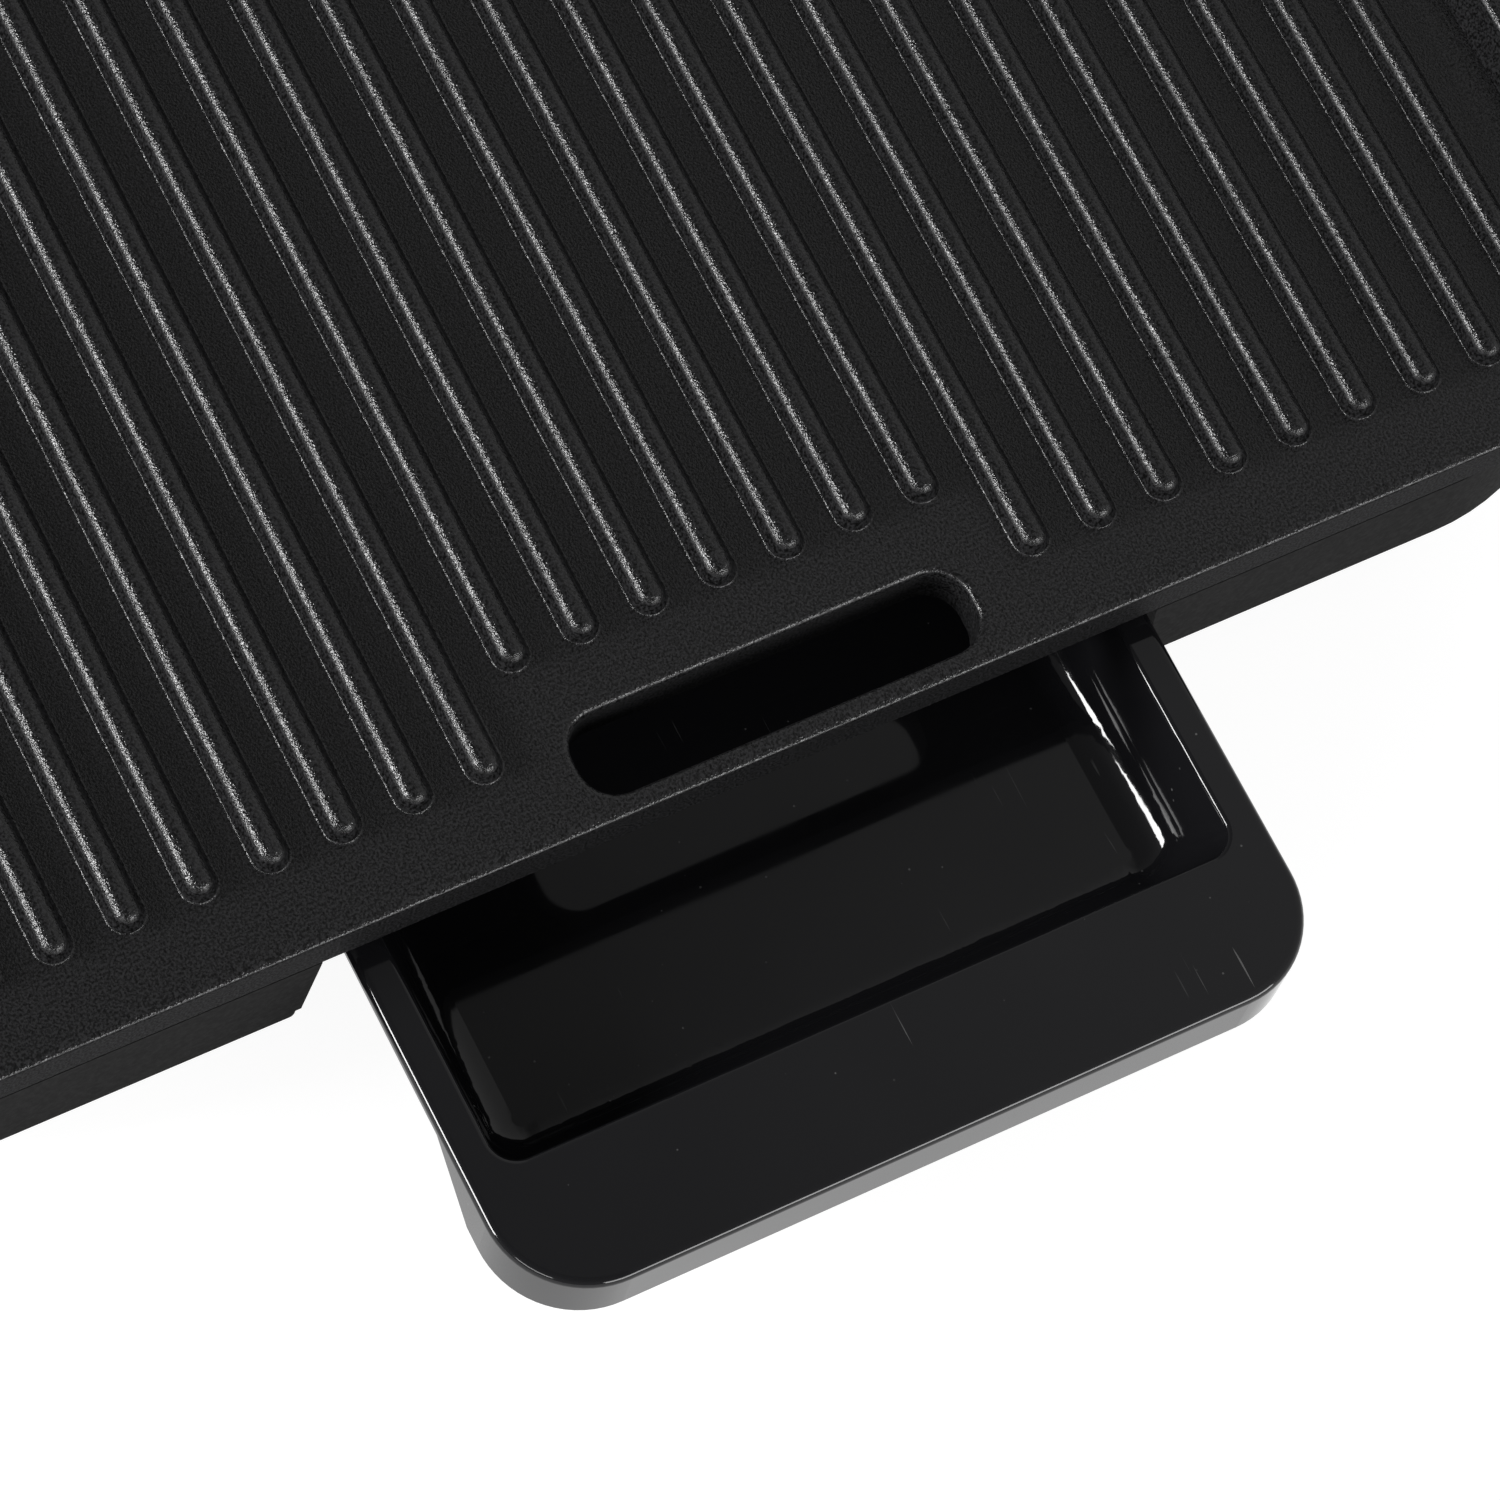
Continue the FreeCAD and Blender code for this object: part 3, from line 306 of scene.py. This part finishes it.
def dial_mark(name):
    s = Shader(name, (0.80, 0.80, 0.77), 0.5)
    s.color(s.tint(s.noise(0.0012, detail=3.0), (0.70, 0.70, 0.67), (0.84, 0.84, 0.81)))
    s.bump(s.noise(0.0003), 0.00002)
    return s.material


MAKERS = [nonstick_cast, base_plastic, tray_gloss, element_sheath, plated_pins, ceramic, sheet_steel,
          screw_steel, reflector_sheet, handle_plastic, controller_plastic, phenolic, contact_brass,
          lamp_glass, pilot_red, gland_rubber, foot_rubber, dial_plastic, dial_mark]


def dress(frame):
    """Gives every CAD node the material of its slot in the record."""
    materials = {maker.__name__: maker(maker.__name__) for maker in MAKERS}
    for row in frame["record"]["subparts"]:
        mesh = frame["nodes"][row["node"]].data
        mesh.materials.clear()
        mesh.materials.append(materials[row["material_slot"]])


def stroke_outline(turn, length):
    """Outline of one stroke with round ends, seen from above, round the dial's axis."""
    out = Vector((math.sin(turn), math.cos(turn), 0.0))
    side = Vector((out.y, -out.x, 0.0))
    outline = []
    for end, first in ((length, 0.0), (0.0, math.pi)):
        for k in range(SCALE_ROUND + 1):
            a = first + math.pi * k / SCALE_ROUND
            reach = SCALE_RADIUS + end + SCALE_HALF * math.sin(a)
            outline.append(out * reach + side * SCALE_HALF * math.cos(a))
    return outline


def add_dial_scale():
    """Printed scale on the controller's top: a ring of plain strokes over the dial's travel."""
    dial_low, dial_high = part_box("temperature_dial")
    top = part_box("controller_housing_upper")[1].z
    centre = (dial_low + dial_high) / 2
    mesh = bpy.data.meshes.new("dial_scale")
    shape = bmesh.new()
    for step in range(SCALE_STEPS + 1):
        turn = math.radians(SCALE_TRAVEL * step / SCALE_STEPS)
        length = SCALE_LONG if step % SCALE_MAJOR == 0 else SCALE_SHORT
        outline = stroke_outline(turn, length)
        low, high = [[shape.verts.new((centre.x + v.x, centre.y + v.y, z)) for v in outline]
                     for z in (top - SCALE_INK, top + SCALE_INK)]
        shape.faces.new(high)
        shape.faces.new(list(reversed(low)))
        for k in range(len(outline)):
            n = (k + 1) % len(outline)
            shape.faces.new((low[k], low[n], high[n], high[k]))
    bmesh.ops.recalc_face_normals(shape, faces=shape.faces)
    shape.to_mesh(mesh)
    shape.free()
    scale = bpy.data.objects.new("dial_scale", mesh)
    bpy.context.scene.collection.objects.link(scale)
    mesh.materials.append(bpy.data.materials["dial_mark"])
    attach(scale, "controller")


# ---- studio ------------------------------------------------------------------------------------
def add_floor():
    """Pale floor that glows like a light table, so that hardly a shadow shows on it."""
    bpy.ops.mesh.primitive_circle_add(vertices=FLOOR_SIDES, radius=FLOOR_RADIUS, fill_type="NGON",
                                      location=(0, 0, -FLOOR_DROP))
    floor = bpy.context.object
    floor.name = "floor"
    material = bpy.data.materials.new("floor")
    material.use_nodes = True
    bsdf = material.node_tree.nodes["Principled BSDF"]
    bsdf.inputs["Base Color"].default_value = (FLOOR_GREY, FLOOR_GREY, FLOOR_GREY, 1.0)
    bsdf.inputs["Roughness"].default_value = 0.9
    bsdf.inputs["Specular IOR Level"].default_value = 0.0
    bsdf.inputs["Emission Color"].default_value = (1.0, 1.0, 1.0, 1.0)
    bsdf.inputs["Emission Strength"].default_value = FLOOR_GLOW
    floor.data.materials.append(material)


def add_sky():
    """Dim room light, dark overhead, paler towards the horizon and on the right."""
    world = bpy.data.worlds.new("studio")
    bpy.context.scene.world = world
    world.use_nodes = True
    nodes = world.node_tree.nodes
    links = world.node_tree.links
    split = nodes.new("ShaderNodeSeparateXYZ")
    links.new(nodes.new("ShaderNodeTexCoord").outputs["Generated"], split.inputs[0])

    def part(axis, fade, most, least):
        """Strength that falls from most to least while the axis goes through fade."""
        full, gone = fade
        made = nodes.new("ShaderNodeMapRange")
        links.new(split.outputs[axis], made.inputs["Value"])
        made.inputs["From Min"].default_value = gone
        made.inputs["From Max"].default_value = full
        made.inputs["To Min"].default_value = least
        made.inputs["To Max"].default_value = most
        return made.outputs["Result"]

    total = nodes.new("ShaderNodeMath")
    total.operation = "ADD"
    links.new(part("X", SKY_RIGHT_FADE, SKY_RIGHT, 0.0), total.inputs[0])
    links.new(part("Z", SKY_LOW_FADE, SKY_DIM + SKY_LOW, SKY_DIM), total.inputs[1])
    background = nodes["Background"]
    background.inputs["Color"].default_value = (1.0, 1.0, 1.0, 1.0)
    links.new(total.outputs[0], background.inputs["Strength"])


def add_softbox(name, azimuth, elevation, width, height, power, aim):
    """Rectangular softbox that faces aim."""
    light = bpy.data.lights.new(name, "AREA")
    light.shape = "RECTANGLE"
    light.size = width
    light.size_y = height
    light.energy = power
    box = bpy.data.objects.new(name, light)
    bpy.context.scene.collection.objects.link(box)
    back = direction(azimuth, elevation)
    box.location = aim + back * LAMP_DISTANCE
    box.rotation_mode = "QUATERNION"
    box.rotation_quaternion = back.to_track_quat("Z", "Y")


def direction(azimuth, elevation):
    """Unit vector towards a viewer at that azimuth and elevation in degrees."""
    a, e = math.radians(azimuth), math.radians(elevation)
    return Vector((math.sin(a) * math.cos(e), -math.cos(a) * math.cos(e), math.sin(e)))


def add_camera(aim):
    camera = bpy.data.cameras.new("camera")
    camera.sensor_width = CAMERA_SENSOR
    camera.lens = CAMERA_LENS
    camera.clip_start, camera.clip_end = CAMERA_CLIP
    eye = bpy.data.objects.new("camera", camera)
    bpy.context.scene.collection.objects.link(eye)
    back = direction(CAMERA_AZIMUTH, CAMERA_ELEVATION)
    eye.rotation_mode = "QUATERNION"
    level_view = (-back).to_track_quat("-Z", "Y").to_matrix()
    roll = Matrix.Rotation(math.radians(CAMERA_ROLL), 3, "Z")
    eye.rotation_quaternion = (level_view @ roll).to_quaternion()
    eye.location = aim + back * CAMERA_DISTANCE
    bpy.context.scene.camera = eye


# ---- scene -------------------------------------------------------------------------------------
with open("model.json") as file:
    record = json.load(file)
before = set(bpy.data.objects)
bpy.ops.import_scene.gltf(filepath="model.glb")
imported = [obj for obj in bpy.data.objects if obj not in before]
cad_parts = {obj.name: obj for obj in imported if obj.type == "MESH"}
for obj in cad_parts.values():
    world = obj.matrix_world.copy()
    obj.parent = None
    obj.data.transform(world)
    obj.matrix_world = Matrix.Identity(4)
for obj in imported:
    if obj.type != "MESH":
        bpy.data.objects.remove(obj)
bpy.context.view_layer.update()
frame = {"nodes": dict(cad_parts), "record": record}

plate_low, plate_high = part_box("griddle_plate")
cooking_z = plate_high.z - COOKING_DEPTH
aim = Vector((CAMERA_AIM_X, plate_low.y + CAMERA_AIM_Y, cooking_z))

dress(frame)
add_floor()
add_sky()
add_dial_scale()
for name, lamp in LAMPS.items():
    add_softbox(name, *lamp, aim)
add_camera(aim)

scene = bpy.context.scene
scene.view_settings.view_transform = "Standard"
scene.view_settings.look = "None"
